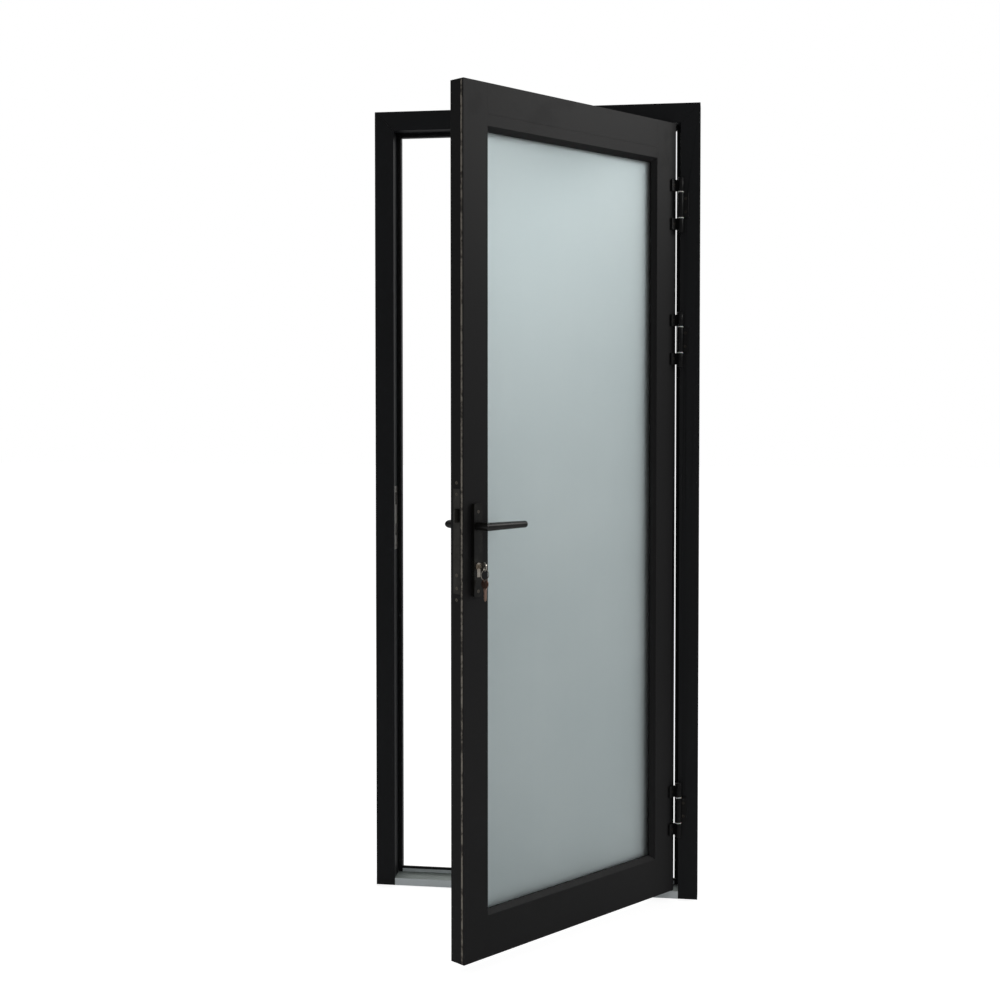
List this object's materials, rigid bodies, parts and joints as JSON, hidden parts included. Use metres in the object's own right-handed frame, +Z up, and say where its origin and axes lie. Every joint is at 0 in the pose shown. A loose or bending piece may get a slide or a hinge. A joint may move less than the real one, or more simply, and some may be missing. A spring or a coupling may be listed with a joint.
{
  "type": "glass door",
  "caption": "Hinged aluminium-framed door leaf with a frosted glass pane, lever handles, cylinder lock with keys and a threshold, in its own frame, standing open.",
  "frame": {"origin": "middle of the frame's foot, at mid depth of the frame, on the floor", "axes": "+X from the lock jamb to the hinge jamb, +Y from the pull side to the back, +Z up"},
  "size_m": [0.87, 0.6887, 2.1],
  "materials": {
    "frame_coat": "satin charcoal powder coat",
    "leaf_coat": "satin charcoal powder coat",
    "hinge_coat": "satin black powder coat",
    "natural_aluminium": "natural anodised, satin",
    "black_rubber": "matte",
    "edge_seal_grey": "matte",
    "washer_nylon": "matte",
    "zinc_steel": "bright zinc",
    "blackened_steel": "blackened",
    "faceplate_steel": "brushed, dark bronzed",
    "handle_black": "satin black",
    "nickel": "nickel plated",
    "key_brass": "worn plated brass",
    "frosted_glass": "acid-etched, frosted"
  },
  "bodies": {
    "door_frame": {"frame_lock_jamb": "frame_coat", "frame_hinge_jamb": "frame_coat", "frame_head": "frame_coat", "threshold": "natural_aluminium", "threshold_seal": "black_rubber", "frame_gasket": "black_rubber", "frame_corner_cleats": "natural_aluminium", "strike_plate": "zinc_steel", "frame_hardware_screws": "blackened_steel", "hinge_1_frame_plate": "hinge_coat", "hinge_2_frame_plate": "hinge_coat", "hinge_3_frame_plate": "hinge_coat", "hinge_washers": "washer_nylon"},
    "leaf": {"hinge_1_upper_wing": "hinge_coat", "hinge_1_lower_wing": "hinge_coat", "hinge_2_upper_wing": "hinge_coat", "hinge_2_lower_wing": "hinge_coat", "hinge_3_upper_wing": "hinge_coat", "hinge_3_lower_wing": "hinge_coat", "hinge_pins": "hinge_coat", "hinge_wing_screws": "blackened_steel", "leaf_lock_stile": "leaf_coat", "leaf_hinge_stile": "leaf_coat", "leaf_top_rail": "leaf_coat", "leaf_bottom_rail": "leaf_coat", "top_rail_strip": "leaf_coat", "leaf_corner_cleats": "natural_aluminium", "leaf_corner_screws": "zinc_steel", "glass_pane": "frosted_glass", "outer_gasket": "black_rubber", "inner_gasket": "black_rubber", "setting_blocks": "black_rubber", "top_bead": "leaf_coat", "bottom_bead": "leaf_coat", "lock_side_bead": "leaf_coat", "hinge_side_bead": "leaf_coat", "leaf_edge_seal": "edge_seal_grey", "lock_case": "zinc_steel", "lock_faceplate": "faceplate_steel", "lock_brackets": "natural_aluminium", "lock_edge_screws": "blackened_steel", "outside_backplate": "handle_black", "inside_backplate": "handle_black", "backplate_screws": "blackened_steel", "return_springs": "zinc_steel", "cylinder_body": "nickel", "cylinder_screw": "zinc_steel", "inside_plug": "nickel"},
    "handle": {"lock_follower": "zinc_steel", "handle_spindle": "zinc_steel", "outside_lever": "handle_black", "inside_lever": "handle_black"},
    "latch": {"latch_bolt": "blackened_steel"},
    "turning_key": {"outside_plug": "nickel", "cylinder_cam": "zinc_steel", "door_key": "nickel"},
    "bolt": {"deadbolt": "blackened_steel"},
    "ring": {"key_ring": "nickel"},
    "hanging_key": {"spare_key": "key_brass"}
  },
  "joints": [
    {"name": "leaf_swing", "type": "hinge", "parent": "door_frame", "child": "leaf", "pos_m": [0.3845, -0.0445, 0], "axis": [0, 0, 1], "range_deg": [-53, 112]},
    {"name": "handle_turn", "type": "hinge", "parent": "leaf", "child": "handle", "pos_m": [-0.08007, -0.60535, 1.033], "axis": [-0.7986, 0.6018, 0], "range_deg": [0, 45], "stiffness_Nm_per_rad": 1.3, "springref_deg": -45.84},
    {"name": "latch_slide", "type": "slide", "parent": "leaf", "child": "latch", "axis": [0.6018, 0.7986, 0], "range_m": [0, 0.012]},
    {"name": "key_turn", "type": "hinge", "parent": "leaf", "child": "turning_key", "pos_m": [-0.0629, -0.61829, 0.941], "axis": [-0.7986, 0.6018, 0], "range_deg": [0, 360]},
    {"name": "bolt_slide", "type": "slide", "parent": "leaf", "child": "bolt", "axis": [-0.6018, -0.7986, 0], "range_m": [0, 0.02]},
    {"name": "ring_swing", "type": "hinge", "parent": "turning_key", "child": "ring", "pos_m": [-0.03815, -0.63694, 0.9365], "axis": [-0.6018, -0.7986, 0], "range_deg": [-3, 70]},
    {"name": "spare_key_swing", "type": "hinge", "parent": "ring", "child": "hanging_key", "pos_m": [-0.03815, -0.63694, 0.9089], "axis": [-0.6018, -0.7986, 0], "range_deg": [-2, 60]}
  ],
  "couplings": [
    {"joint": "latch_slide", "follows": "handle_turn", "m_per_rad": 0.015279},
    {"joint": "bolt_slide", "follows": "key_turn", "m_per_rad": 0.0031831}
  ]
}
